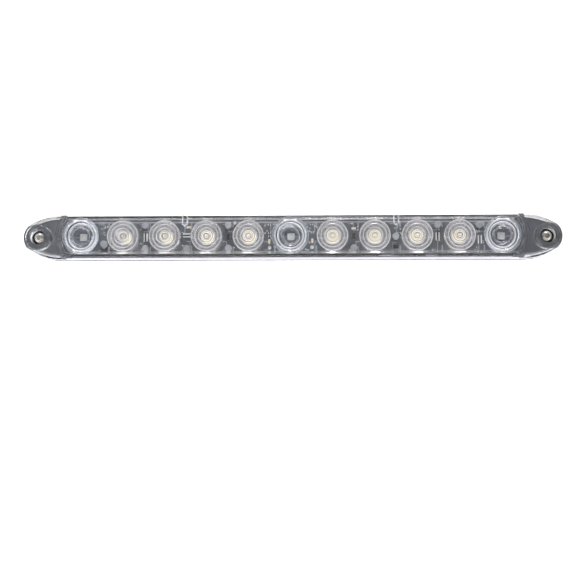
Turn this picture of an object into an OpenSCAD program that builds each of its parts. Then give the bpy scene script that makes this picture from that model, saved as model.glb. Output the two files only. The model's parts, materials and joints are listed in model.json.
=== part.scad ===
// Clear third brake light bar: three red "bullseye" emitters and eight white fresnel emitters
// behind one clear polycarbonate lens, screwed to a wall through its two end ears.
// Frame: X runs along the bar, Z is up, the lens faces -Y and the mounting plane is Y = 0.
// Every module draws the lamp lying on its back (x along, y up the wall, z out of the wall),
// and on_wall() turns it upright.

/* [Body] */
// Length over the two rounded noses
lamp_length = 432; // [425:1:440]
// Height of the flange and the ears
lamp_height = 37.2; // [36.8:0.2:38]
// Length of each rounded nose, from its tip to the straight edges
nose_length = 32; // [31:0.5:34]
// Radius of the arc round the tip of a nose
nose_tip_r = 13.6; // [13:0.2:14.4]
// Wall thickness of the clear lens
wall = 2.4; // [2:0.1:2.6]

/* [Depths above the gasket] */
// Front of the flange lip
lip_depth = 8; // [7.5:0.5:8.5]
// Front of the two ears
ear_depth = 12.5; // [12:0.5:13]
// Front of the raised lens body
body_depth = 20; // [20:0.5:22]
// Thickness of the foam gasket behind the lamp
gasket_t = 1.6; // [1:0.2:2]

/* [Raised body] */
// Height of the raised body
body_height = 32.4; // [32:0.2:32.6]
// Distance between the tips of its two curved ends
body_length = 371; // [370:1:372]
// Radius of its curved ends
body_end_r = 24; // [22:1:28]
// Width of the slope round its front
body_edge = 2.8; // [2.4:0.2:2.8]
// Depth of that slope
body_edge_drop = 3.6; // [3:0.2:4]
// Width of the rounded shoulder round each ear
ear_edge = 4.8; // [4.4:0.2:5.2]
// Gap between the raised body and an ear
moat = 1.6; // [1.4:0.2:2]

/* [Emitters] */
// Spacing of the eleven emitters
pitch = 33.4; // [33.2:0.1:33.4]
// Radius of a fresnel optic
fresnel_r = 12.6; // [12:0.1:12.8]
// Spacing of its ring grooves
groove_pitch = 1.4; // [1.3:0.1:1.6]
// Outer radius of the ring round a bullseye
ring_r = 14.6; // [14.2:0.1:14.8]

/* [Fixing] */
// Distance between the two mounting screws
screw_spacing = 406.4; // [404:0.2:408]
// Radius of the mounting screw's thread
screw_r = 2.1; // [1.9:0.05:2.2]
// Length of the screw behind the mounting plane
screw_reach = 12; // [8:1:20]

/* [Hidden] */
$fn = 64;
half_l = lamp_length / 2;
half_h = lamp_height / 2;
screw_x = screw_spacing / 2;
fit = 0.15;                            // gap between neighbouring pieces

// Heights above the mounting plane
back_z = gasket_t;                     // back of the lens skirt and of the housing
plate_t = 2.4;                         // housing plate
plate_z = back_z + plate_t;            // inside of the housing plate
lip_z = back_z + lip_depth;
ear_z = back_z + ear_depth;
face_z = back_z + body_depth;
skin = 2.2;                            // thickness of the lens over the lip and ears
ceiling_z = face_z - wall;             // inside of the lens front
rib_h = 0.6;                           // ribs that carry the board
board_z = plate_z + rib_h;
board_t = 1.6;
board_top = board_z + board_t;
board_half_h = 13;
board_half_l = 180;

// Ears and bosses
boss_r = 10.2;
boss_rise = 0.3;                       // how far a boss stands out of its ear
bore_r = 5.8;
seat_h = 5;                            // height of the black screw seat above back_z
seat_z = back_z + seat_h;
hole_r = screw_r + 0.25;
screw_point = 4;                       // length of the screw's point

// Where the raised body's straight edges meet its curved ends
body_half_h = body_height / 2;
corner_x = body_length / 2 - body_end_r + sqrt(pow(body_end_r, 2) - pow(body_half_h, 2));

// Radius of the arcs that run from a nose's tip arc to the straight edges
nose_run = nose_length - nose_tip_r;
shoulder_r = (pow(nose_run, 2) / (half_h - nose_tip_r) + half_h + nose_tip_r) / 2;

// Emitter numbers, -5 to 5 along the bar; every fifth is a red bullseye
bullseyes = [-5, 0, 5];
fresnels = [for (k = [-4 : 4]) if (k != 0) k];
sides = ["left", "centre", "right"];
clip_x = 2.5 * pitch;
clip_y = 10;                           // centre of a clip's round lower end
clip_r = 2.4;
clip_t = 0.8;
weep_slots = [[76.5, 12], [112, 9]];   // [centre, length] along the lower skirt

// Board posts, as [gap number, height up the wall]; gap 1.5 lies between emitters 1 and 2
posts = [[-4.5, -5.5], [-3.5, 9.2], [-3.5, -9.2], [-2.5, -9.2], [-1.5, 9.2], [-1.5, -9.2],
         [1.5, -9.2], [2.5, 0], [3.5, 9.2], [4.5, 9.2]];
post_r = 2.75;
post_pin_r = 1.2;
post_h = 4.6;

// Parts on the board, as [x, y, turn]
wide_resistors = [[-3.5 * pitch, 0, 90], [3.5 * pitch, 0, 90], [-2.5 * pitch, 1.5, 0],
                  [4.5 * pitch, -2.5, 90]];
chip_resistors = [[-17.2, 3.2, 0], [-17.2, 0.6, 0], [17, 3.4, 0], [-4.5 * pitch, 3, 90],
                  [-4.45 * pitch, 8.6, 0], [4.45 * pitch, -9, 0], [16.6, 9.8, 0],
                  [-17.4, 9.8, 0]];
capacitors = [[-17.4, -3.6, 90], [17, -3.2, 90], [1.5 * pitch, 6.6, 0], [-2.45 * pitch, 8, 0]];
diodes = [[-1.5 * pitch, 0, 90], [1.5 * pitch, 0.6, 90]];
regulators = [[2.5 * pitch, -8.4, 0], [-4.5 * pitch, -10.6, 180]];
lead_joints = [[-17.2, -8.6], [16.8, -8.4], [-1.5 * pitch + 4.8, 11.4]];

board_corner_r = 6;
board_pin_fit = 0.1;                   // gap between a post's pin and the board

// Ribs under the board's two long edges, and the small locating peg in each ear
rib_y = 11.4;
rib_t = 1.5;
peg_x = half_l - 26.5;
peg_y = -1.4;
peg_r = 0.6;
peg_h = 0.8;

// Rubber grommet in the housing, with its three lead holes on a circle
grommet_r = 5.2;
grommet_lip = 1.2;                     // how far its flanges reach past the housing's hole
lead_hole_r = 1.15;
lead_ring_r = 1.9;

// Drive features of the screws and the bores over them
key_w = 2.6;                           // width of the key notch at the top of a bore
lead_in = 1.3;
recess_l = 4.4;
recess_w = 0.9;
recess_depth = 1.5;
head_r = 4.1;
head_h = 2.5;

// Corner lugs
lug_w = 5.4;
lug_out = 0.7;                         // how far a lug stands out past the body's edge

// Bullseye ring on the lens front
ring_w = 3.1;
ring_h = 1;

// Emitter packages
package_w = 5;
package_h = 1.6;
cup_floor = 0.7;                       // height of the cup's floor in a package
white_cup_r = 2;
red_cup_r = 1.9;
die_w = 1.2;
die_h = 0.3;

// Turns a lamp lying on its back upright, with its lens towards -Y
module on_wall() rotate([90, 0, 0]) children();

module at_emitter(k) translate([k * pitch, 0, 0]) children();

// Points of an arc from angle a to angle b
function arc(cx, r, a, b, n = 16) =
    [for (i = [0 : n]) let (t = a + (b - a) * i / n) [cx + r * cos(t), r * sin(t)]];

function mirrored(right) = concat(right, [for (p = right) -p]);

// Angle left out at each end of a tip arc, where a shoulder arc's end point already stands
tip_trim = 6;

// Flange outline taken in by inset: each nose is a tip arc between two shoulder arcs
function flange_points(inset = 0) =
    let (cx = half_l - nose_length, cy = shoulder_r - half_h, t = atan2(cy, nose_run),
         lower = [for (p = arc(cx, shoulder_r - inset, -90, -t, 7)) [p[0], p[1] + cy]],
         upper = [for (p = arc(cx, shoulder_r - inset, t, 90, 7)) [p[0], p[1] - cy]])
    mirrored(concat(lower,
                    arc(half_l - nose_tip_r, nose_tip_r - inset, tip_trim - t, t - tip_trim, 14),
                    upper));

// Raised body outline: straight edges and shallow curved ends, taken in by inset
function body_points(inset = 0) =
    let (r = body_end_r - inset, h = body_half_h - inset, t = asin(h / r))
    mirrored(arc(body_length / 2 - body_end_r, r, -t, t, 16));

module flange_2d(inset = 0) polygon(flange_points(inset));
module body_2d(inset = 0) polygon(body_points(inset));

// The two ears' share of the outline, with their inner edges moved out by gap
module ears_2d(gap = 0)
    difference() {
        square([lamp_length * 2, lamp_height * 2], center = true);
        square([2 * (corner_x + gap), lamp_height * 3], center = true);
        body_2d(-moat - gap);
    }

module slab(z0, z1) translate([0, 0, z0]) linear_extrude(z1 - z0) children();

// Rounded front shoulder of the ears, from just below the lip's front up to z1. It starts a
// hair inside the lip's outline.
module shoulder(z1, inset = 0)
    hull() {
        slab(lip_z - 3, lip_z) flange_2d(inset + 0.05);
        for (t = [18 : 18 : 90])
            translate([0, 0, (z1 - lip_z) * sin(t)])
                slab(lip_z - 0.01, lip_z)
                    flange_2d(inset + 0.05 + (ear_edge - inset) * (1 - cos(t)));
    }

// Raised body with a sloping front edge
module sloped_body()
    hull() {
        slab(back_z, face_z - body_edge_drop) body_2d();
        slab(face_z - 0.01, face_z) body_2d(body_edge);
    }

// Small block that fills a lower corner of the raised body
module corner_lug()
    translate([-lug_w / 2, -body_half_h - lug_out, lip_z - 1])
        cube([lug_w, 3, face_z - body_edge_drop - lip_z + 2.2]);

// Clear one-piece cover: flange lip, two ears with screw bosses, and the raised body
module outer_lens()
    color([0.86, 0.9, 0.95, 0.45]) difference() {
        union() {
            difference() {
                lens_outside();
                lens_cavity();
            }
            for (k = bullseyes) at_emitter(k) bullseye_ring();
            for (s = [-1, 1]) translate([s * screw_x, 0, plate_z + fit])
                cylinder(r = boss_r, h = ear_z + boss_rise - plate_z - fit);
        }
        for (s = [-1, 1]) translate([s * screw_x, 0, 0]) screw_bore();
        for (s = [-1, 1]) translate([s * clip_x, 0, 0]) clip_pocket();
        for (w = weep_slots) translate([w[0] - w[1] / 2, -half_h - 1, back_z - 1])
            cube([w[1], wall + 1.5, 2]);
    }

module lens_outside() {
    slab(back_z, lip_z) flange_2d();
    intersection() {
        shoulder(ear_z);
        slab(lip_z - 4, ear_z + 1) ears_2d();
    }
    sloped_body();
    for (s = [-1, 1]) translate([s * (corner_x - lug_out), 0, 0]) corner_lug();
}

// Bore over a mounting screw, with a lead-in and a small key notch at its top
module screw_bore() {
    cylinder(r = bore_r, h = ear_z + 1);
    translate([0, 0, ear_z + boss_rise + 0.1 - lead_in])
        cylinder(r1 = bore_r, r2 = bore_r + lead_in, h = lead_in);
    translate([-key_w / 2, 0, ear_z - 4]) cube([key_w, bore_r + 1.2, 5]);
}

// Round-topped ring that stands out of the lens front round each red emitter
module bullseye_ring()
    rotate_extrude()
        polygon([[ring_r - ring_w, face_z - 1.5], [ring_r, face_z - 2.2],
                 [ring_r, face_z + ring_h - 0.6], [ring_r - 0.5, face_z + ring_h - 0.1],
                 [ring_r - 2.2, face_z + ring_h], [ring_r - ring_w, face_z + 0.3]]);

module lens_cavity() {
    slab(back_z - 1, ceiling_z) body_2d(wall);
    slab(back_z - 1, lip_z - skin) flange_2d(wall);
    intersection() {
        shoulder(ear_z - skin, wall);
        slab(lip_z - 4, ear_z) ears_2d(wall);
    }
}

// Strip of width 2 * r that runs up from a round lower end, reaching height top
module clip_2d(r, top) {
    translate([0, clip_y]) circle(r = r);
    translate([-r, clip_y]) square([2 * r, top - clip_y]);
}

module clip_pocket() slab(face_z - 0.5, face_z + 1) clip_2d(clip_r + 0.1, body_half_h + 1);

// Clear U-shaped clip: a U on the lens front whose two legs turn back over the upper edge
module lens_clip()
    color([0.95, 0.96, 0.98, 0.6]) difference() {
        union() {
            slab(face_z - 0.45, face_z + clip_t) clip_2d(clip_r, body_half_h + 0.1 + clip_t);
            translate([-clip_r, body_half_h + 0.1, lip_z + 0.1])
                cube([2 * clip_r, clip_t, face_z - lip_z]);
        }
        slab(lip_z, face_z + 2) clip_2d(clip_r - 1.05, body_half_h + 3);
    }

// Black tray that closes the back: plate, screw seats, board ribs and the lead hole
module base_housing()
    color([0.06, 0.065, 0.07]) difference() {
        union() {
            slab(back_z, plate_z) flange_2d(wall + fit);
            for (s = [-1, 1]) translate([s * screw_x, 0, back_z])
                cylinder(r = bore_r - fit, h = seat_h);
            for (s = [-1, 1])
                translate([board_corner_r - board_half_l, s * rib_y - rib_t / 2, plate_z - 0.1])
                    cube([2 * (board_half_l - board_corner_r), rib_t, rib_h + 0.1]);
            for (s = [-1, 1]) translate([s * peg_x, peg_y, plate_z - 0.1])
                cylinder(r = peg_r, h = peg_h + 0.1);
        }
        for (s = [-1, 1]) translate([s * screw_x, 0, 0]) cylinder(r = hole_r, h = seat_z + 1);
        cylinder(r = grommet_r - grommet_lip, h = plate_z + 1);
    }

// Silicone bead that seals the housing plate to the lens skirt
module perimeter_seal()
    color([0.2, 0.2, 0.21]) slab(plate_z + 0.02, plate_z + 1)
        difference() {
            flange_2d(wall + 0.02);
            flange_2d(wall + 1.1);
            for (s = [-1, 1]) translate([s * screw_x, 0]) circle(r = boss_r + 0.1);
        }

// Closed-cell foam ring between the lamp and the wall
module foam_gasket()
    color([0.1, 0.1, 0.105]) slab(0, back_z - 0.02)
        difference() {
            flange_2d(wall + 0.6);
            flange_2d(wall + 6.2);
        }

// Rubber grommet with one hole for each of the three leads
module wire_grommet()
    color([0.07, 0.07, 0.07]) difference() {
        rotate_extrude() polygon([
            [0, -5.5], [3.1, -5.5], [4.3, back_z - 1.3], [grommet_r, back_z - 1.1],
            [grommet_r, back_z - 0.05], [grommet_r - grommet_lip - 0.05, back_z - 0.05],
            [grommet_r - grommet_lip - 0.05, plate_z + 0.05], [grommet_r - 0.4, plate_z + 0.05],
            [grommet_r - 0.8, plate_z + 0.5], [0, plate_z + 0.5]]);
        for (a = [90, 210, 330])
            rotate(a) translate([lead_ring_r, 0, -6]) cylinder(r = lead_hole_r, h = 13);
    }

// Long narrow board that carries the emitters
module circuit_board()
    color([0.1, 0.13, 0.15]) slab(board_z + 0.02, board_top)
        difference() {
            union() {
                square([2 * (board_half_l - board_corner_r), 2 * board_half_h], center = true);
                square([2 * board_half_l, 2 * (board_half_h - board_corner_r)], center = true);
                for (sx = [-1, 1], sy = [-1, 1])
                    translate([sx * (board_half_l - board_corner_r),
                               sy * (board_half_h - board_corner_r)])
                        circle(r = board_corner_r);
            }
            for (p = posts) translate([p[0] * pitch, p[1]]) circle(r = post_pin_r + board_pin_fit);
            for (p = lead_joints) translate([p[0], p[1]]) circle(r = 0.6);
        }

// Natural nylon posts that pin the board down
module board_posts()
    color([0.75, 0.76, 0.77])
        for (p = posts) translate([p[0] * pitch, p[1], 0])
            rotate_extrude() polygon([
                [0, plate_z + 0.02], [post_pin_r, plate_z + 0.02], [post_pin_r, board_top + 0.02],
                [post_r, board_top + 0.02], [post_r, board_top + post_h - 0.5],
                [post_r - 0.5, board_top + post_h], [0, board_top + post_h]]);

// Collimator behind a bullseye ring: skirt, reflecting cone, ringed front, and a wide well
// over the emitter that a thin window closes
module bullseye_optic(k)
    color([0.85, 0.89, 0.95, 0.5]) at_emitter(k) rotate_extrude() polygon([
        [0, ceiling_z - 3.8], [5.6, ceiling_z - 4], [5.9, board_top + 0.1],
        [6.9, board_top + 0.1], [8.6, board_top + 2.4], [10.4, board_top + 4.4],
        [12, board_top + 6.6], [12, board_top + 0.1], [13.2, board_top + 0.1],
        [13.2, ceiling_z - 0.2], [11.9, ceiling_z - 0.2], [10.9, ceiling_z - 1.5],
        [10, ceiling_z - 0.3], [9, ceiling_z - 1.9], [8.4, ceiling_z - 0.4],
        [6.9, ceiling_z - 0.4], [6.4, ceiling_z - 2.8], [2.5, ceiling_z - 2.5],
        [0, ceiling_z - 2.3]]);

// Cup-shaped optic whose front is cut into concentric V grooves round a small centre lens
module fresnel_optic(k) {
    top = ceiling_z - 0.2;
    rim = 0.3;                         // flat rim outside the outermost groove
    depth = 0.5;
    n = floor((fresnel_r - rim - 1) / groove_pitch);
    centre_r = fresnel_r - rim - n * groove_pitch;
    under = top - 2.2;
    color([0.88, 0.9, 0.94, 0.5]) at_emitter(k) rotate_extrude() polygon(concat(
        [[0, under], [fresnel_r - 0.8, under], [fresnel_r - 0.8, board_top + 0.1],
         [fresnel_r, board_top + 0.1], [fresnel_r, top]],
        [for (i = [0 : n - 1], half = [0, 0.5])
            [fresnel_r - rim - (i + half) * groove_pitch, top - depth * 2 * half]],
        [for (t = [0 : 30 : 90])
            [centre_r * cos(t), top - depth + depth * sin(t)]]));
}

// White package with a round cup in its top
module led_package(cup_r)
    translate([0, 0, board_top + 0.02]) difference() {
        translate([-package_w / 2, -package_w / 2, 0]) cube([package_w, package_w, package_h]);
        translate([0, 0, cup_floor]) cylinder(r1 = cup_r - 0.3, r2 = cup_r, h = 1);
    }

module white_led(k) color([0.93, 0.93, 0.9]) at_emitter(k) led_package(white_cup_r);
module red_led(k) color([0.9, 0.89, 0.88]) at_emitter(k) led_package(red_cup_r);

module white_led_phosphors()
    color([0.95, 0.83, 0.35])
        for (k = fresnels) at_emitter(k)
            translate([0, 0, board_top + cup_floor + 0.04])
                cylinder(r1 = white_cup_r - 0.32, r2 = white_cup_r - 0.1, h = 0.75);

module red_led_dies()
    color([0.62, 0.56, 0.47])
        for (k = bullseyes) at_emitter(k)
            translate([-die_w / 2, -die_w / 2, board_top + cup_floor + 0.04])
                cube([die_w, die_w, die_h]);

module on_board(places)
    for (p = places) translate([p[0], p[1], board_top + 0.02]) rotate(p[2]) children();

// A resistor whose terminals run along its two long sides
module wide_resistors()
    color([0.12, 0.12, 0.13]) on_board(wide_resistors)
        translate([-3.2, -1.6, 0]) cube([6.4, 3.2, 0.7]);

module chip_resistors()
    color([0.7, 0.7, 0.68]) on_board(chip_resistors)
        translate([-1, -0.62, 0]) cube([2, 1.25, 0.5]);

module capacitors()
    color([0.75, 0.68, 0.55]) on_board(capacitors)
        translate([-1.6, -0.8, 0]) cube([3.2, 1.6, 1]);

module diodes()
    color([0.1, 0.1, 0.1]) on_board(diodes) {
        translate([-2.15, -1.3, 0]) cube([4.3, 2.6, 2]);
        translate([-2.6, -0.75, 0]) cube([5.2, 1.5, 0.8]);
    }

// Regulator with three legs and a tab
module regulators()
    color([0.12, 0.12, 0.12]) on_board(regulators) {
        translate([-2.25, -1.2, 0]) cube([4.5, 2.5, 1.5]);
        for (x = [-1.5, 0, 1.5]) translate([x - 0.22, -2, 0]) cube([0.44, 1, 0.35]);
        translate([-0.85, 1.1, 0]) cube([1.7, 0.8, 0.35]);
    }

module lead_solder_joints()
    color([0.72, 0.72, 0.7])
        for (p = lead_joints) translate([p[0], p[1], board_z]) {
            cylinder(r = 0.5, h = board_t + 0.1);
            translate([0, 0, board_t + 0.02]) cylinder(r1 = 1.4, r2 = 0.6, h = 0.7);
        }

// Pan-head mounting screw with a cross recess. The plain neck fills the lamp, and behind the
// mounting plane a cylinder of the thread's outer radius leads to the point.
module mounting_screw(s) {
    neck_r = screw_r - 0.5;
    head_z = seat_z + 0.02;
    color([0.78, 0.78, 0.76]) translate([s * screw_x, 0, 0]) difference() {
        union() {
            rotate_extrude() polygon([
                [0, head_z], [head_r, head_z], [head_r, head_z + head_h - 1.7],
                [3.5, head_z + head_h - 0.7], [2.4, head_z + head_h - 0.1],
                [0, head_z + head_h]]);
            cylinder(r = neck_r, h = head_z + 0.1);
            translate([0, 0, -screw_reach + screw_point])
                cylinder(r = screw_r, h = screw_reach - screw_point);
            translate([0, 0, -screw_reach]) cylinder(r1 = 0.2, r2 = screw_r, h = screw_point);
        }
        for (a = [45, 135])
            rotate(a) translate([-recess_l / 2, -recess_w / 2, head_z + head_h - recess_depth])
                cube([recess_l, recess_w, 2]);
    }
}

on_wall() base_housing();
on_wall() outer_lens();
on_wall() perimeter_seal();
on_wall() foam_gasket();
on_wall() wire_grommet();
on_wall() circuit_board();
on_wall() board_posts();
for (i = [0 : 2]) {
    on_wall() bullseye_optic(bullseyes[i]);
    on_wall() red_led(bullseyes[i]);
}
for (i = [1 : 8]) {
    on_wall() fresnel_optic(fresnels[i - 1]);
    on_wall() white_led(fresnels[i - 1]);
}
on_wall() red_led_dies();
on_wall() white_led_phosphors();
on_wall() wide_resistors();
on_wall() chip_resistors();
on_wall() capacitors();
on_wall() diodes();
on_wall() regulators();
on_wall() lead_solder_joints();
on_wall() translate([-clip_x, 0, 0]) lens_clip();  // lens_clip_left
on_wall() translate([clip_x, 0, 0]) lens_clip();  // lens_clip_right
on_wall() mounting_screw(-1);  // mounting_screw_left
on_wall() mounting_screw(1);  // mounting_screw_right
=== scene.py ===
"""Clear third brake light bar, lit softly on a plain pale stage.

X runs along the bar, Z is up and the lens faces -Y, as in the CAD frame. Blender's units are
metres; the shapes below are written in millimetres, with depth measured from the wall towards
the lens, and put() turns them into metres.
"""

import json
import math
import random

import bmesh
import bpy
from mathutils import Matrix, Vector


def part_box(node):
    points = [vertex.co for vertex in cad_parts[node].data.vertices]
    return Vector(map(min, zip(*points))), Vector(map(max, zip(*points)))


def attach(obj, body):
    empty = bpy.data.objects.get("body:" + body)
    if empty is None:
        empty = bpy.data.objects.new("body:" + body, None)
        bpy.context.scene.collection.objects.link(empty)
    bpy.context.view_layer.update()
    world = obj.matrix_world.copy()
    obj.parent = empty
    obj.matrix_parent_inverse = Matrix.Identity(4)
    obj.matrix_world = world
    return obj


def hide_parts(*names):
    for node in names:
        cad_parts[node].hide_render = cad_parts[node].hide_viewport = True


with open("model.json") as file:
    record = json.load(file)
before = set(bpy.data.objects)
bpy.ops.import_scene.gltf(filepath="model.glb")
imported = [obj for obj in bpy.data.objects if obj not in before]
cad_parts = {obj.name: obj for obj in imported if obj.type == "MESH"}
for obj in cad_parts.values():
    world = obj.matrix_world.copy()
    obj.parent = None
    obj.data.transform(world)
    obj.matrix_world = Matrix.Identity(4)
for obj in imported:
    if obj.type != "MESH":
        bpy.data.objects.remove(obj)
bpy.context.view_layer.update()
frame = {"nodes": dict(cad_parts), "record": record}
MM = 0.001


def box_mm(node):
    """A CAD node's lowest and highest corners and its centre, in millimetres."""
    low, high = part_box(node)
    return low / MM, high / MM, (low + high) / 2 / MM


# ---------------------------------------------------------------- sizes taken from the frame
LENS_LOW, LENS_HIGH, _ = box_mm("outer_lens")
HALF_L, HALF_H = LENS_HIGH.x, LENS_HIGH.z
BACK = -LENS_HIGH.y
RING_H = 1.0                           # how far a bullseye ring stands out of the face
FACE = -LENS_LOW.y - RING_H
BOARD_TOP = -box_mm("circuit_board")[0].y
PLATE = BACK + 2.4
SCREW_X = box_mm("mounting_screw_right")[2].x
HEAD_TOP = -box_mm("mounting_screw_right")[0].y
SCREW_TIP = -box_mm("mounting_screw_right")[1].y
CLIP_X = box_mm("lens_clip_right")[2].x
SIDES = ("left", "centre", "right")
BULLSEYE_X = [box_mm(f"bullseye_optic_{side}")[2].x for side in SIDES]
FRESNEL_X = [box_mm(f"fresnel_optic_{i}")[2].x for i in range(1, 9)]
PITCH = BULLSEYE_X[2] / 5

# ---------------------------------------------------------------- sizes of the lens
WALL, SKIN = 2.4, 2.2
LIP, EAR = BACK + 8, BACK + 12.5
CEILING = FACE - WALL
NOSE, TIP_R = 32, 13.6
BODY_HALF_L, BODY_HALF_H, END_R = 185.5, 16.2, 24
SLOPE_W, SLOPE_D = 2.8, 3.6
SHOULDER = 4.8
MOAT = 1.6
BOSS_R, BORE_R = 10.2, 5.8
RING_R = 14.6
CORNER_X = BODY_HALF_L - END_R + math.sqrt(END_R ** 2 - BODY_HALF_H ** 2)
WEEP_SLOTS = ((76.5, 12), (112, 9))    # (centre, length) along the lower skirt

# ---------------------------------------------------------------- sizes of the optics, clips
OPTIC_FRONT = CEILING - 0.2
FRESNEL_R, GROOVE_RIM, GROOVE, GROOVE_DEPTH = 12.6, 0.3, 1.4, 0.5
CLIP_LOW, CLIP_R, CLIP_T = 10, 2.4, 0.8


# ---------------------------------------------------------------- mesh helpers
def put(x, depth, z):
    return (x * MM, -depth * MM, z * MM)


def as_object(name, bm):
    mesh = bpy.data.meshes.new(name)
    bmesh.ops.recalc_face_normals(bm, faces=bm.faces)
    bm.to_mesh(mesh)
    bm.free()
    obj = bpy.data.objects.new(name, mesh)
    bpy.context.scene.collection.objects.link(obj)
    return obj


def loft(name, outline, profile):
    """A closed solid through outline(inset) at each (inset, depth) of the profile."""
    bm = bmesh.new()
    rings = [[bm.verts.new(put(x, depth, z)) for x, z in outline(inset)]
             for inset, depth in profile]
    count = len(rings[0])
    for low, high in zip(rings, rings[1:]):
        for i in range(count):
            j = (i + 1) % count
            bm.faces.new((low[i], low[j], high[j], high[i]))
    bm.faces.new(rings[0])
    bm.faces.new(rings[-1])
    return as_object(name, bm)


def spin(bm, profile, cx=0.0, cz=0.0, segments=96):
    """Adds the solid that a closed profile of (radius, depth) makes round an axis along Y."""
    rings = []
    for r, depth in profile:
        if r < 1e-6:
            rings.append([bm.verts.new(put(cx, depth, cz))])
            continue
        rings.append([bm.verts.new(put(cx + r * math.cos(a), depth, cz + r * math.sin(a)))
                      for a in (math.tau * i / segments for i in range(segments))])
    pairs = list(zip(rings, rings[1:] + rings[:1]))
    for low, high in pairs:
        if len(low) == 1 and len(high) == 1:
            continue
        for i in range(segments):
            j = (i + 1) % segments
            corners = [low[i % len(low)], low[j % len(low)], high[j % len(high)],
                       high[i % len(high)]]
            bm.faces.new(list(dict.fromkeys(corners)))


def revolve(name, profile, cx=0.0, cz=0.0, segments=96):
    bm = bmesh.new()
    spin(bm, profile, cx, cz, segments)
    return as_object(name, bm)


def rounded(points, radius, steps=4, closed=True):
    """A polyline with its corners rounded. radius is one number or one per point."""
    radii = radius if isinstance(radius, (list, tuple)) else [radius] * len(points)
    out = []
    for i, here in enumerate(points):
        if radii[i] <= 0 or (not closed and i in (0, len(points) - 1)):
            out.append(here)
            continue
        p = Vector(here)
        a = Vector(points[i - 1]) - p
        b = Vector(points[(i + 1) % len(points)]) - p
        bend = a.angle(b)
        reach = min(radii[i] / math.tan(bend / 2), 0.45 * a.length, 0.45 * b.length)
        start, end = p + a.normalized() * reach, p + b.normalized() * reach
        for k in range(steps + 1):
            t = k / steps
            q = start.lerp(p, t).lerp(p.lerp(end, t), t)
            out.append((q.x, q.y))
    return out


def add_box(bm, low, high, edge=0.0, turn=0.0, segments=2):
    """Adds a box between two (x, depth, z) corners, with bevelled edges, turned about its axis."""
    mid = [(a + b) / 2 for a, b in zip(low, high)]
    size = [abs(b - a) * MM for a, b in zip(low, high)]
    made = bmesh.ops.create_cube(bm, size=1)
    place = (Matrix.Translation(put(*mid)) @ Matrix.Rotation(math.radians(turn), 4, "Y")
             @ Matrix.Diagonal((*size, 1)))
    bmesh.ops.transform(bm, matrix=place, verts=made["verts"])
    if edge:
        edges = list({e for v in made["verts"] for e in v.link_edges})
        bmesh.ops.bevel(bm, geom=edges, offset=edge * MM, segments=segments, affect="EDGES",
                        profile=0.5)


def box_object(name, low, high, edge=0.0):
    bm = bmesh.new()
    add_box(bm, low, high, edge)
    return as_object(name, bm)


def applied(obj):
    """Bakes an object's modifiers into its mesh."""
    depsgraph = bpy.context.evaluated_depsgraph_get()
    mesh = bpy.data.meshes.new_from_object(obj.evaluated_get(depsgraph))
    obj.modifiers.clear()
    obj.data = mesh
    return obj


def triangulated(obj):
    """Splits an object's faces into triangles, which stay flat when their corners are rounded."""
    bm = bmesh.new()
    bm.from_mesh(obj.data)
    bmesh.ops.triangulate(bm, faces=bm.faces)
    bm.to_mesh(obj.data)
    bm.free()
    return obj


def boolean(target, operation, others):
    """Joins or cuts target by each of others. It works in millimetres, where sizes are safe."""
    target.data.transform(Matrix.Scale(1 / MM, 4))
    for other in others:
        triangulated(target)
        other.data.transform(Matrix.Scale(1 / MM, 4))
        mod = target.modifiers.new("cut", "BOOLEAN")
        mod.operation, mod.solver, mod.object = operation, "EXACT", triangulated(other)
        applied(target)
        bpy.data.objects.remove(other)
    target.data.transform(Matrix.Scale(MM, 4))
    return target


def shade(obj, angle=32):
    """Smooth shading with creases where faces meet at more than angle degrees."""
    bm = bmesh.new()
    bm.from_mesh(obj.data)
    bmesh.ops.remove_doubles(bm, verts=bm.verts, dist=2e-7)
    bmesh.ops.dissolve_degenerate(bm, edges=bm.edges, dist=1e-7)
    limit = math.radians(angle)
    for edge in bm.edges:
        edge.smooth = len(edge.link_faces) == 2 and edge.calc_face_angle(0) < limit
    for face in bm.faces:
        face.smooth = True
    bm.to_mesh(obj.data)
    bm.free()
    weights = obj.modifiers.new("weights", "WEIGHTED_NORMAL")
    weights.keep_sharp = True
    return applied(obj)


def piece(obj, material, *nodes, angle=32, second=None, on=None):
    """Finishes a new piece: shading, material, its ride on the body and the nodes it replaces.

    Faces for which on(x, depth, z, normal) holds get the second material instead."""
    shade(obj, angle)
    obj.data.materials.clear()
    obj.data.materials.append(MATERIALS[material])
    if second:
        obj.data.materials.append(MATERIALS[second])
        for face in obj.data.polygons:
            x, y, z = face.center / MM
            face.material_index = int(on(x, -y, z, face.normal))
    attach(obj, "root")
    if nodes:
        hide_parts(*nodes)
    return obj


# ---------------------------------------------------------------- material helpers
def new_material(name):
    mat = bpy.data.materials.new(name)
    mat.use_nodes = True
    tree = mat.node_tree
    return mat, tree, tree.nodes["Principled BSDF"]


def add(tree, kind, **values):
    """A shader node with its properties, then its inputs (named with spaces as _), set."""
    node = tree.nodes.new(kind)
    for key, value in values.items():
        if hasattr(node, key):
            setattr(node, key, value)
        else:
            node.inputs[key.replace("_", " ")].default_value = value
    return node


def noise(tree, scale, detail=4.0, roughness=0.55):
    coords = add(tree, "ShaderNodeTexCoord")
    node = add(tree, "ShaderNodeTexNoise", Scale=scale, Detail=detail, Roughness=roughness)
    tree.links.new(coords.outputs["Object"], node.inputs["Vector"])
    return node


def ramp(tree, source, stops):
    node = add(tree, "ShaderNodeValToRGB")
    elements = node.color_ramp.elements
    while len(elements) < len(stops):
        elements.new(0.5)
    for element, (place, colour) in zip(elements, stops):
        element.position = place
        element.color = (*colour, 1)
    tree.links.new(source, node.inputs["Fac"])
    return node


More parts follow.
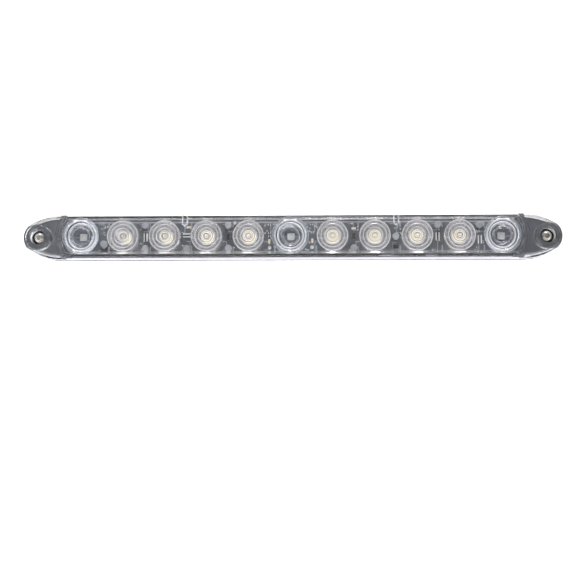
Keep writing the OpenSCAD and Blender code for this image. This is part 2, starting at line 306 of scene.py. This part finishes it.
def spread(tree, source, low, high):
    """source, 0 to 1, mapped to low..high."""
    node = add(tree, "ShaderNodeMapRange", To_Min=low, To_Max=high)
    tree.links.new(source, node.inputs["Value"])
    return node.outputs["Result"]


def bump(tree, shader, height, strength, distance):
    node = add(tree, "ShaderNodeBump", Strength=strength, Distance=distance)
    tree.links.new(height, node.inputs["Height"])
    tree.links.new(node.outputs["Normal"], shader.inputs["Normal"])


def textured(name, dark, light, rough=(0.4, 0.6), scale=400, relief=0.2, relief_size=0.00005,
             metallic=0.0):
    """A solid material with colour variation, uneven gloss and a fine relief."""
    mat, tree, shader = new_material(name)
    broad = noise(tree, scale * 0.15, 3)
    fine = noise(tree, scale, 6)
    colour = ramp(tree, broad.outputs["Fac"], [(0.3, dark), (0.7, light)])
    tree.links.new(colour.outputs["Color"], shader.inputs["Base Color"])
    tree.links.new(spread(tree, fine.outputs["Fac"], *rough), shader.inputs["Roughness"])
    bump(tree, shader, fine.outputs["Fac"], relief, relief_size)
    shader.inputs["Metallic"].default_value = metallic
    return mat


def clear(name, tint, ior, rough=(0.0, 0.04), milk=0.0, ripple=0.05, ripple_scale=60):
    """Clear moulded plastic: a slight tint, faint haze and the shallow waviness of moulding."""
    mat, tree, shader = new_material(name)
    shader.inputs["Base Color"].default_value = (*tint, 1)
    shader.inputs["Transmission Weight"].default_value = 1.0 - milk
    shader.inputs["IOR"].default_value = ior
    haze = noise(tree, 220, 3)
    tree.links.new(spread(tree, haze.outputs["Fac"], *rough), shader.inputs["Roughness"])
    wave = noise(tree, ripple_scale, 2, 0.4)
    bump(tree, shader, wave.outputs["Fac"], ripple, 0.0004)
    path = add(tree, "ShaderNodeLightPath")
    open_way = add(tree, "ShaderNodeBsdfTransparent", Color=(*tint, 1))
    mix = add(tree, "ShaderNodeMixShader")
    tree.links.new(path.outputs["Is Shadow Ray"], mix.inputs["Fac"])
    tree.links.new(shader.outputs["BSDF"], mix.inputs[1])
    tree.links.new(open_way.outputs["BSDF"], mix.inputs[2])
    tree.links.new(mix.outputs["Shader"], tree.nodes["Material Output"].inputs["Surface"])
    return mat


def black_with_painted_seat_shade(name):
    """Grained black moulding with painted shade on the screw seats deep in their bores: inside the
    bore radius round each screw axis the colour is near black and the gloss is low.
    """
    mat = textured(name, (0.047, 0.048, 0.054), (0.073, 0.075, 0.083), (0.35, 0.55), 900, 0.35,
                   0.00006)
    tree = mat.node_tree
    shader = tree.nodes["Principled BSDF"]
    place = add(tree, "ShaderNodeTexCoord")
    axes = add(tree, "ShaderNodeSeparateXYZ")
    tree.links.new(place.outputs["Object"], axes.inputs["Vector"])
    side = add(tree, "ShaderNodeMath", operation="ABSOLUTE")
    tree.links.new(axes.outputs["X"], side.inputs[0])
    off = add(tree, "ShaderNodeMath", operation="SUBTRACT")
    tree.links.new(side.outputs[0], off.inputs[0])
    off.inputs[1].default_value = SCREW_X * MM
    flat = add(tree, "ShaderNodeCombineXYZ")
    tree.links.new(off.outputs[0], flat.inputs["X"])
    tree.links.new(axes.outputs["Z"], flat.inputs["Z"])
    reach = add(tree, "ShaderNodeVectorMath", operation="LENGTH")
    tree.links.new(flat.outputs["Vector"], reach.inputs[0])
    # seat masks the painted shade: 1 inside the bore radius round each screw axis, 0 elsewhere.
    seat = add(tree, "ShaderNodeMath", operation="LESS_THAN")
    tree.links.new(reach.outputs["Value"], seat.inputs[0])
    seat.inputs[1].default_value = BORE_R * MM
    colour = shader.inputs["Base Color"].links[0].from_socket
    mix = add(tree, "ShaderNodeMix", data_type="RGBA")
    tree.links.new(seat.outputs[0], mix.inputs[0])
    tree.links.new(colour, mix.inputs[6])
    # Painted shade: a near-black colour on the seats deep in the bores, in place of the grained
    # black.
    mix.inputs[7].default_value = (0.006, 0.006, 0.007, 1)
    tree.links.new(mix.outputs[2], shader.inputs["Base Color"])
    # The painted shade also lowers the gloss on the seats.
    gloss = spread(tree, seat.outputs[0], 0.5, 0.05)
    tree.links.new(gloss, shader.inputs["Specular IOR Level"])
    return mat


MATERIALS = {
    "black_abs": black_with_painted_seat_shade("black_abs"),
    "clear_lens": clear("clear_lens", (0.98, 0.98, 0.985), 1.5),
    "silicone": textured("silicone", (0.08, 0.08, 0.09), (0.13, 0.13, 0.14), (0.4, 0.6)),
    "foam": textured("foam", (0.03, 0.03, 0.032), (0.07, 0.07, 0.075), (0.85, 1.0), 1500,
                     0.9, 0.0002),
    "grommet_rubber": textured("grommet_rubber", (0.025, 0.025, 0.025), (0.045, 0.045, 0.045),
                               (0.5, 0.75), 700, 0.4),
    "board": textured("board", (0.05, 0.053, 0.058), (0.086, 0.09, 0.098), (0.3, 0.5), 500),
    "nylon": textured("nylon", (0.15, 0.16, 0.17), (0.24, 0.25, 0.26), (0.35, 0.5), 500),
    "clear_optic": clear("clear_optic", (0.9, 0.91, 0.94), 1.49, (0.0, 0.02)),
    "frosted_optic": clear("frosted_optic", (0.95, 0.945, 0.95), 1.49, (0.03, 0.09), milk=0.29),
    "frosted_lens": clear("frosted_lens", (0.9, 0.94, 1.0), 1.5, (0.03, 0.1), milk=0.08),
    "ring_optic": clear("ring_optic", (0.91, 0.905, 0.91), 1.49, (0.0, 0.04), milk=0.05),
    "led_package": textured("led_package", (0.4, 0.39, 0.36), (0.5, 0.49, 0.46), (0.3, 0.45)),
    "red_die": textured("red_die", (0.6, 0.54, 0.45), (0.75, 0.68, 0.58), (0.2, 0.3)),
    "phosphor": textured("phosphor", (0.86, 0.76, 0.5), (0.94, 0.86, 0.62), (0.25, 0.4)),
    "resistor_black": textured("resistor_black", (0.02, 0.02, 0.022), (0.04, 0.04, 0.045)),
    "capacitor_tan": textured("capacitor_tan", (0.42, 0.33, 0.22), (0.55, 0.44, 0.32)),
    "chip_black": textured("chip_black", (0.015, 0.015, 0.015), (0.03, 0.03, 0.03)),
    "solder": textured("solder", (0.6, 0.6, 0.6), (0.75, 0.75, 0.74), (0.2, 0.4), 900, 0.3,
                       metallic=1.0),
    "trace": textured("trace", (0.16, 0.175, 0.19), (0.25, 0.265, 0.28), (0.25, 0.4), 700),
    "tin": textured("tin", (0.42, 0.42, 0.42), (0.6, 0.6, 0.59), (0.25, 0.4), 1200, 0.3,
                    metallic=0.3),
    "clip_clear": clear("clip_clear", (0.98, 0.99, 1.0), 1.5, (0.05, 0.15), milk=0.14),
    "nickel": textured("nickel", (0.4, 0.38, 0.35), (0.54, 0.51, 0.47), (0.2, 0.34), 900, 0.2,
                       metallic=1.0),
}


# ---------------------------------------------------------------- outlines
def arc(cx, cz, r, start, end, steps):
    turn = [math.radians(start + (end - start) * i / steps) for i in range(steps + 1)]
    return [(cx + r * math.cos(t), cz + r * math.sin(t)) for t in turn]


def both_ends(right):
    return right + [(-x, -z) for x, z in right]


def flange_outline(inset):
    """Each nose is a tip arc between two shoulder arcs, as in the CAD model."""
    run = NOSE - TIP_R
    big = (run ** 2 / (HALF_H - TIP_R) + HALF_H + TIP_R) / 2
    cx, cz = HALF_L - NOSE, big - HALF_H
    turn = math.degrees(math.atan2(cz, run))
    return both_ends(arc(cx, cz, big - inset, -90, -turn, 14)
                     + arc(HALF_L - TIP_R, 0, TIP_R - inset, -turn, turn, 28)[1:-1]
                     + arc(cx, -cz, big - inset, turn, 90, 14))


def body_outline(inset):
    r, h = END_R - inset, BODY_HALF_H - inset
    turn = math.degrees(math.asin(h / r))
    return both_ends(arc(BODY_HALF_L - END_R, 0, r, -turn, turn, 32))


# ---------------------------------------------------------------- the lens
def shoulder_profile(front, inset, start):
    """Rounded front shoulder of an ear, from the lip up to front."""
    steps = 12
    curve = [math.radians(90 * i / steps) for i in range(steps + 1)]
    return [(inset, start)] + [
        (inset + (SHOULDER - inset) * (1 - math.cos(t)), LIP + (front - LIP) * math.sin(t))
        for t in curve]


def ears_only(solid, gap):
    """Cuts a flange-shaped solid down to its two ears, whose inner edges stand gap outwards."""
    reach = CORNER_X + 1 + gap
    middle = box_object("middle", (-reach, -5, -60), (reach, 60, 60))
    ends = loft("ends", lambda inset: body_outline(-MOAT - gap), [(0, -6), (0, 61)])
    return boolean(solid, "DIFFERENCE", [middle, ends])


def screw_bore(x):
    bore = revolve("bore", [(0, 0), (BORE_R, 0), (BORE_R, EAR - 0.8), (BORE_R + 1.3, EAR + 0.5),
                            (BORE_R + 1.3, EAR + 3), (0, EAR + 3)], x, segments=128)
    key = box_object("key", (x - 1.3, EAR - 4, 0), (x + 1.3, EAR + 2, BORE_R + 1.2))
    return boolean(bore, "UNION", [key])


def clip_pocket(x):
    r, top = CLIP_R + 0.1, BODY_HALF_H + 1
    outline = [(x - r, top)] + arc(x, CLIP_LOW, r, 180, 360, 16) + [(x + r, top)]
    return loft("pocket", lambda inset: outline, [(0, FACE - 0.5), (0, FACE + 1)])


def front_ring(x):
    """Round-topped ring that stands out of the lens front round a red emitter."""
    inner = RING_R - 3.1
    return revolve("ring", rounded(
        [(inner, FACE - 1.5), (RING_R, FACE - 2.2), (RING_R, FACE + 0.95),
         (RING_R - 1.4, FACE + 1), (inner, FACE + 0.3)], [0, 0, 0.6, 0.8, 0.3]), x, segments=128)


def screw_boss(x):
    """Pillar round a screw bore, with a low rounded collar on the ear's front."""
    return revolve("boss", rounded([(0, PLATE + 0.15), (BOSS_R, PLATE + 0.15),
                                    (BOSS_R, EAR + 0.3), (0, EAR + 0.3)], [0, 0, 0.9, 0], 6),
                   x, segments=128)


def corner_lug(side):
    x = side * (CORNER_X - 0.7)
    foot = -BODY_HALF_H - 0.7
    return box_object("lug", (x - 2.7, LIP - 1, foot), (x + 2.7, FACE - SLOPE_D + 1.2, foot + 3),
                      0.4)


def gate_pip(x):
    return revolve("pip", [(0, FACE - 0.3), (0.9, FACE - 0.3), (0.85, FACE + 0.25),
                           (0.5, FACE + 0.55), (0, FACE + 0.65)], x, 6.2, segments=24)


def make_lens():
    ends = (-1, 1)
    lens = loft("lens", flange_outline, rounded([(0, BACK), (0, LIP), (2.5, LIP)], [0, 0.5, 0],
                                                5, closed=False))
    ears = ears_only(loft("ears", flange_outline, shoulder_profile(EAR, 0.65, LIP - 1)), 0)
    body = loft("body", body_outline,
                rounded([(0, BACK + 1), (0, FACE - SLOPE_D), (SLOPE_W, FACE), (4.5, FACE)],
                        [0, 1.2, 0.9, 0], 5, closed=False))
    boolean(lens, "UNION", [ears, body] + [corner_lug(side) for side in ends])

    lip_hole = loft("lip_hole", flange_outline, [(WALL, BACK - 1), (WALL, LIP - SKIN)])
    ear_hole = ears_only(loft("ear_hole", flange_outline,
                              shoulder_profile(EAR - SKIN, WALL + 0.5,
                                               LIP - SKIN - 0.6)), WALL)
    body_hole = loft("body_hole", body_outline,
                     rounded([(WALL, BACK - 2), (WALL, CEILING), (WALL + 2, CEILING)],
                             [0, 0.6, 0], 3, closed=False))
    boolean(lens, "DIFFERENCE", [lip_hole, ear_hole, body_hole])
    boolean(lens, "UNION", [front_ring(x) for x in BULLSEYE_X]
            + [screw_boss(side * SCREW_X) for side in ends]
            + [gate_pip(side * CLIP_X + 0.9) for side in ends])
    slots = [box_object("slot", (x - w / 2, BACK - 1, -HALF_H - 1),
                        (x + w / 2, BACK + 1, -HALF_H + WALL + 0.5))
             for x, w in WEEP_SLOTS]
    boolean(lens, "DIFFERENCE", [screw_bore(side * SCREW_X) for side in ends]
            + [clip_pocket(side * CLIP_X) for side in ends] + slots)
    piece(lens, "clear_lens", "outer_lens", angle=28, second="frosted_lens",
          on=lambda x, depth, z, normal: depth > FACE + 0.02)


# ---------------------------------------------------------------- optics
def fresnel_profile():
    """A cup whose front is cut into fine concentric V grooves round a small centre lens."""
    foot, top, radius = BOARD_TOP + 0.1, OPTIC_FRONT, FRESNEL_R
    groove, depth = GROOVE, GROOVE_DEPTH
    front = []
    r = radius - GROOVE_RIM
    while r - groove > 1:
        front += [(r, top), (r - groove / 2, top - depth)]
        r -= groove
    dome = [(r * math.cos(t), top - depth + depth * math.sin(t))
            for t in (math.radians(22.5 * i) for i in range(5))]
    under = top - 2.2
    return ([(0, under), (radius - 0.8, under), (radius - 0.8, foot), (radius, foot),
             (radius, top - 0.15)] + front + dome)


def make_fresnels():
    """Every second groove is frosted on the flank that faces the centre, the rest is polished."""
    for i, cx in enumerate(FRESNEL_X, 1):
        def frosted(x, depth, z, normal, cx=cx):
            groove = int((FRESNEL_R - GROOVE_RIM - math.hypot(x - cx, z)) / GROOVE)
            inward = (x - cx) * normal.x + z * normal.z < -0.2
            return depth > CEILING - 0.9 and inward and groove % 2 == 0
        piece(revolve(f"ring_optic_{i}", fresnel_profile(), cx, segments=120), "ring_optic",
              f"fresnel_optic_{i}", angle=20, second="frosted_optic", on=frosted)


def bullseye_profile():
    """A collimator: a wide well over the emitter with a thin window, a reflecting flank, a
    skirt and a ringed front."""
    low, top = BOARD_TOP, OPTIC_FRONT
    points = [(0, top - 3.6), (5.6, top - 3.8), (5.9, low + 0.1), (6.9, low + 0.1),
              (8.6, low + 2.4), (10.4, low + 4.4), (12, low + 6.6), (12, low + 0.1),
              (13.2, low + 0.1), (13.2, top), (11.9, top), (10.9, top - 1.3), (10, top - 0.1),
              (9, top - 1.7), (8.4, top - 0.2), (6.9, top - 0.2), (6.4, top - 2.6),
              (2.5, top - 2.3), (0, top - 2.1)]
    return rounded(points, [0] + [0.4] * (len(points) - 2) + [0], 3)


def make_bullseyes():
    """Two ridges and the skirt's front are frosted, the rest is polished."""
    for side, cx in zip(SIDES, BULLSEYE_X):
        def frosted(x, depth, z, normal, cx=cx):
            r = math.hypot(x - cx, z)
            front = depth > CEILING - 2.4
            return front and (6.9 < r < 7.4 or 9.5 < r < 10.5 or r > 12.4)
        piece(revolve(f"target_optic_{side}", bullseye_profile(), cx), "clear_optic",
              f"bullseye_optic_{side}", angle=24, second="frosted_optic", on=frosted)


# ---------------------------------------------------------------- screws
def thread_radius(turns_along, turns_round, root, crest):
    phase = (turns_along - turns_round) % 1.0
    flank = 0.24
    ridge = max(0.0, 1 - abs(phase - 0.5) / flank)
    return root + (crest - root) * min(1.0, ridge * 1.25)


def make_screw(side, x):
    """Pan head with a cross recess, a plain neck, and a helical thread down to a point."""
    bm = bmesh.new()
    seat = HEAD_TOP - 2.5
    root, crest, pitch, point = 1.5, 2.1, 1.4, 4.0
    around, along = 40, 110
    start, end = seat - 1.2, SCREW_TIP
    head = [(1.6, seat)] + rounded([(1.6, seat), (4.1, seat), (4.1, seat + 0.9),
                                    (3.5, seat + 1.8), (2.2, HEAD_TOP - 0.06), (0, HEAD_TOP)],
                                   [0, 0.15, 0.5, 0.8, 1.0, 0], 4, closed=False)[1:]
    rows = [[bm.verts.new(put(x + r * math.cos(a), d, r * math.sin(a)))
             for a in (math.tau * i / around for i in range(around))]
            for r, d in reversed(head[:-1])]
    for k in range(along + 1):
        depth = start + (end + 0.15 - start) * k / along
        fade = min(1.0, (depth - end) / point)
        ring = []
        for i in range(around):
            a = math.tau * i / around
            r = thread_radius((start - depth) / pitch, i / around, root, crest) * fade
            r = max(r, 0.08)
            ring.append(bm.verts.new(put(x + r * math.cos(a), depth, r * math.sin(a))))
        rows.append(ring)
    for low, high in zip(rows, rows[1:]):
        for i in range(around):
            j = (i + 1) % around
            bm.faces.new((low[i], low[j], high[j], high[i]))
    bm.faces.new(rows[0])
    bm.faces.new(rows[-1])
    screw = as_object(f"screw_{side}", bm)
    arms = []
    for turn in (45, 135):
        arm = bmesh.new()
        made = bmesh.ops.create_cube(arm, size=1)
        for v in made["verts"]:
            deep = v.co.y > 0
            v.co.x *= 2.6 if deep else 4.7
            v.co.z *= 0.7 if deep else 1.0
            v.co.y = 1.7 if deep else -0.5
        bmesh.ops.transform(arm, matrix=Matrix.Translation(put(x, HEAD_TOP, 0))
                            @ Matrix.Rotation(math.radians(turn), 4, "Y")
                            @ Matrix.Scale(MM, 4), verts=arm.verts)
        arms.append(as_object("arm", arm))
    boolean(screw, "DIFFERENCE", arms)
    piece(screw, "nickel", f"mounting_screw_{side}", angle=40)


# ---------------------------------------------------------------- clips, foam and board detail
def make_clip(side, x):
    """U-shaped clip on the lens front, whose legs turn back over the lens's upper edge."""
    r, leg, t = CLIP_R, 1.35, CLIP_T
    top = BODY_HALF_H + 0.1 + t
    outer = [(x - r, top)] + arc(x, CLIP_LOW, r, 180, 360, 20) + [(x + r, top)]
    front = loft("clip", lambda inset: outer, [(0, FACE - 0.45), (0, FACE + t)])
    back = box_object("legs", (x - r, LIP + 0.1, BODY_HALF_H + 0.1), (x + r, FACE + 0.1, top))
    boolean(front, "UNION", [back])
    inner = [(x - r + leg * 0.78, top + 3)] + arc(x, CLIP_LOW, r - leg * 0.78, 180, 360, 16) \
        + [(x + r - leg * 0.78, top + 3)]
    hole = loft("hole", lambda inset: inner, [(0, LIP - 1), (0, FACE + 3)])
    boolean(front, "DIFFERENCE", [hole])
    soften = front.modifiers.new("soften", "BEVEL")
    soften.width, soften.segments, soften.limit_method = 0.18 * MM, 3, "ANGLE"
    applied(front)
    front.name = f"clip_{side}"
    piece(front, "clip_clear", f"lens_clip_{side}")


def make_foam():
    """Foam ring with soft, slightly swollen edges."""
    inner, outer = WALL + 6.2, WALL + 0.6
    t = BACK - 0.02
    foam = loft("foam_ring", flange_outline,
                rounded([(outer, 0), (outer, t), (outer + 2, t)], [0, 0.5, 0], 4, closed=False))
    hole = loft("hole", flange_outline, [(inner, -1), (inner, t + 1)])
    boolean(foam, "DIFFERENCE", [hole])
    piece(foam, "foam", "foam_gasket")


def islands(node):
    """The separate solids of a CAD node, as (low, high) corners in millimetres."""
    bm = bmesh.new()
    bm.from_mesh(frame["nodes"][node].data)
    bmesh.ops.remove_doubles(bm, verts=bm.verts, dist=1e-6)
    boxes, seen = [], set()
    for first in bm.verts:
        if first in seen:
            continue
        group, todo = [], [first]
        seen.add(first)
        while todo:
            here = todo.pop()
            group.append(here.co / MM)
            for edge in here.link_edges:
                other = edge.other_vert(here)
                if other not in seen:
                    seen.add(other)
                    todo.append(other)
        boxes.append((Vector([min(c[i] for c in group) for i in range(3)]),
                      Vector([max(c[i] for c in group) for i in range(3)])))
    bm.free()
    return boxes


def end_caps(bm, low, high, share, across_long):
    """Tinned caps over two opposite ends of a chip part."""
    size = high - low
    along = 0 if (size.x > size.z) != across_long else 2
    grow = 0.05
    for side in (0, 1):
        a, b = low.copy(), high.copy()
        if side:
            a[along] = high[along] - share
        else:
            b[along] = low[along] + share
        add_box(bm, (a.x - grow, -b.y, a.z - grow), (b.x + grow, -a.y + grow, b.z + grow), 0.06)


def make_terminals():
    bm = bmesh.new()
    for node, share, across_long in (("wide_resistors", 0.95, True), ("chip_resistors", 0.4, False),
                                     ("capacitors", 0.5, False)):
        for low, high in islands(node):
            end_caps(bm, low, high, share, across_long)
    for node in ("diodes", "regulators"):
        for low, high in islands(node):
            mid = (low + high) / 2
            for x, z in ((low.x + 0.3, mid.z), (high.x - 0.3, mid.z), (mid.x, low.z + 0.3),
                         (mid.x, high.z - 0.3)):
                add_box(bm, (x - 0.45, BOARD_TOP + 0.02, z - 0.45),
                        (x + 0.45, BOARD_TOP + 0.22, z + 0.45), 0.05)
    piece(as_object("part_terminals", bm), "tin")


def track(bm, start, end, width, rise):
    """A copper track that shows under the solder mask, as a low bar between two (x, z)."""
    half = width / 2
    low = [min(a, b) - half for a, b in zip(start, end)]
    high = [max(a, b) + half for a, b in zip(start, end)]
    add_box(bm, (low[0], BOARD_TOP - rise, low[1]), (high[0], BOARD_TOP + rise, high[1]))


def make_tracks():
    """Two supply tracks along the board, with branches to the emitters and parts."""
    dice = random.Random(7)
    bm = bmesh.new()
    edge = 11.9
    for z in (-edge, edge):
        track(bm, (-176, z), (176, z), 0.9, 0.03)
    for x in FRESNEL_X + BULLSEYE_X:
        for side in (-1, 1):
            track(bm, (x + side * 2.2, -1.6), (x + side * 2.2, 1.6), 1.6, 0.04)
            track(bm, (x + side * 3, 0), (x + side * 12, 0), 0.7, 0.05)
    for k in range(-5, 5):
        mid = (k + 0.5) * PITCH
        for side in (-1, 1):
            x = mid + dice.uniform(-2.5, 2.5)
            z = side * dice.uniform(3.2, 5.4)
            turn = dice.choice((-1, 1)) * dice.uniform(2, 5)
            track(bm, (x, side * edge), (x, z), 0.6, 0.06)
            track(bm, (x, z), (x + turn, z), 0.6, 0.07)
            track(bm, (mid - 4.5, side * 10.4), (mid - 1.5, side * 10.4), 0.5, 0.08)
            track(bm, (mid + 3.6, side * edge), (mid + 3.6, side * dice.uniform(7, 9)), 1.1, 0.09)
    piece(as_object("board_tracks", bm), "trace")


def make_vias():
    """Tinned rims of plated holes: an arc of them round the centre emitter, and strays."""
    dice = random.Random(3)
    spots = [(15.4, a) for a in (-40, -17, 18, 32, 41, 139, 148, 184, 214)]
    places = [(r * math.cos(math.radians(a)), r * math.sin(math.radians(a))) for r, a in spots]
    for k in range(-5, 5):
        for _ in range(5):
            places.append(((k + 0.5) * PITCH + dice.uniform(-4.4, 4.4),
                           dice.choice((-1, 1)) * dice.uniform(2.4, 11)))
    bm = bmesh.new()
    for x, z in places:
        spin(bm, [(0.28, BOARD_TOP + 0.02), (0.62, BOARD_TOP + 0.02), (0.6, BOARD_TOP + 0.09),
                  (0.34, BOARD_TOP + 0.09)], x, z, 16)
    piece(as_object("board_vias", bm), "tin")
    pits = bmesh.new()
    for x, z in places:
        spin(pits, [(0, BOARD_TOP + 0.01), (0.33, BOARD_TOP + 0.01), (0.33, BOARD_TOP + 0.05),
                    (0, BOARD_TOP + 0.05)], x, z, 12)
    piece(as_object("via_holes", pits), "chip_black")


def dress_frame():
    """Gives every CAD node that stays the material of its record slot."""
    for part in frame["record"]["subparts"]:
        node = frame["nodes"][part["node"]]
        node.data.materials.clear()
        node.data.materials.append(MATERIALS[part["material_slot"]])


# ---------------------------------------------------------------- stage, light and camera
def stage():
    floor_z = -0.32
    mesh = bpy.data.meshes.new("floor")
    bm = bmesh.new()
    bend = 0.6
    profile = [(-3.0, 0.0), (bend, 0.0)]
    profile += [(bend + bend * math.sin(t), bend - bend * math.cos(t))
                for t in (math.radians(a) for a in range(9, 91, 9))]
    profile += [(2 * bend, 3.0)]
    rows = [[bm.verts.new((x, y, floor_z + z)) for y, z in profile] for x in (-4, 4)]
    for i in range(len(profile) - 1):
        bm.faces.new((rows[0][i], rows[0][i + 1], rows[1][i + 1], rows[1][i]))
    bm.to_mesh(mesh)
    bm.free()
    for face in mesh.polygons:
        face.use_smooth = True
    floor = bpy.data.objects.new("floor", mesh)
    bpy.context.scene.collection.objects.link(floor)
    mat, tree, shader = new_material("stage_white")
    grain = noise(tree, 3, 2)
    tint = ramp(tree, grain.outputs["Fac"], [(0.0, (0.93, 0.93, 0.93)), (1.0, (0.96, 0.96, 0.96))])
    tree.links.new(tint.outputs["Color"], shader.inputs["Base Color"])
    shader.inputs["Roughness"].default_value = 0.9
    mesh.materials.append(mat)


def flag(name, low, high, grey=0.012):
    """A dark or grey card that only clear plastic and gloss see. It throws no shadow."""
    bm = bmesh.new()
    bmesh.ops.create_cube(bm, size=1)
    for v in bm.verts:
        v.co = Vector([a + (b - a) * (c + 0.5) for a, b, c in zip(low, high, v.co)])
    obj = as_object(name, bm)
    mat, _, shader = new_material(name)
    shader.inputs["Base Color"].default_value = (grey, grey, grey * 1.1, 1)
    shader.inputs["Roughness"].default_value = 1.0
    shader.inputs["Specular IOR Level"].default_value = 0.0
    obj.data.materials.append(mat)
    obj.visible_camera = False
    obj.visible_shadow = False
    obj.visible_diffuse = False


def softbox(name, place, aim, size, power, colour=(1, 1, 1)):
    light = bpy.data.lights.new(name, "AREA")
    light.shape = "RECTANGLE"
    light.size, light.size_y = size
    light.energy = power
    light.color = colour
    obj = bpy.data.objects.new(name, light)
    obj.location = place
    obj.rotation_euler = (Vector(aim) - Vector(place)).to_track_quat("-Z", "Y").to_euler()
    obj.visible_camera = False
    bpy.context.scene.collection.objects.link(obj)


def lights():
    world = bpy.data.worlds.new("studio")
    world.use_nodes = True
    world.node_tree.nodes["Background"].inputs["Color"].default_value = (1, 1, 1, 1)
    world.node_tree.nodes["Background"].inputs["Strength"].default_value = 0.9
    bpy.context.scene.world = world
    softbox("key", (0.1, -0.9, 1.2), (0, 0, 0), (1.6, 0.6), 7)
    softbox("fill", (-0.9, -1.0, 0.2), (0, 0, 0), (0.6, 0.8), 5, (0.84, 0.92, 1.0))
    softbox("strip", (0, -2.2, 3.3), (0, 0, 0), (0.4, 1.8), 34)
    softbox("overhead", (0, 0.36, 1.0), (0, 0, 0), (1.8, 0.3), 24)
    softbox("underneath", (0, 0.05, -0.31), (0, 0, 0), (1.2, 0.14), 5, (1.0, 0.93, 0.86))
    flag("flag_over", (-0.225, -0.02, 0.10), (0.205, 0.35, 0.102))
    flag("flag_over_left", (-0.6, -0.02, 0.10), (-0.225, 0.05, 0.102))
    flag("flag_over_right", (0.205, -0.02, 0.10), (0.6, 0.05, 0.102))
    flag("flag_under", (-0.6, -0.02, -0.102), (0.6, 0.06, -0.10))
    flag("flag_left", (-0.302, -0.02, -0.1), (-0.30, 0.08, 0.1))
    flag("flag_right", (0.30, -0.02, -0.1), (0.302, 0.08, 0.1))
    flag("flag_front", (-0.9, -1.52, -0.05), (0.9, -1.5, 0.45))
    flag("flag_back_top", (-0.6, 0.30, 0.062), (0.6, 0.302, 0.12))
    flag("flag_back_left", (-0.46, 0.30, -0.06), (-0.325, 0.302, 0.058))
    flag("flag_back_right", (0.292, 0.30, -0.06), (0.43, 0.302, 0.058))
    flag("card_lip", (-0.25, 0.06, -0.0145), (0.25, 0.062, -0.007), 0.6)
    flag("card_line", (-0.25, 0.06, -0.034), (0.25, 0.062, -0.0145), 0.02)
    flag("card_slope", (-0.25, 0.06, -0.09), (0.25, 0.062, -0.034), 0.75)


def camera():
    distance, below, aside = 1.05, math.radians(5.4), math.radians(2.4)
    data = bpy.data.cameras.new("camera")
    data.sensor_width = 36
    data.lens = 81.44
    obj = bpy.data.objects.new("camera", data)
    place = Vector((math.sin(aside) * math.cos(below), -math.cos(aside) * math.cos(below),
                    -math.sin(below))) * distance
    obj.location = place
    obj.rotation_euler = (-place).to_track_quat("-Z", "Y").to_euler()
    data.shift_x = -0.0059
    data.shift_y = -0.0873
    bpy.context.scene.collection.objects.link(obj)
    bpy.context.scene.camera = obj


bpy.context.scene.view_settings.view_transform = "Standard"
camera()
stage()
lights()
dress_frame()
make_lens()
make_fresnels()
make_bullseyes()
for side, sign in (("left", -1), ("right", 1)):
    make_screw(side, sign * SCREW_X)
    make_clip(side, sign * CLIP_X)
make_foam()
make_terminals()
make_tracks()
make_vias()
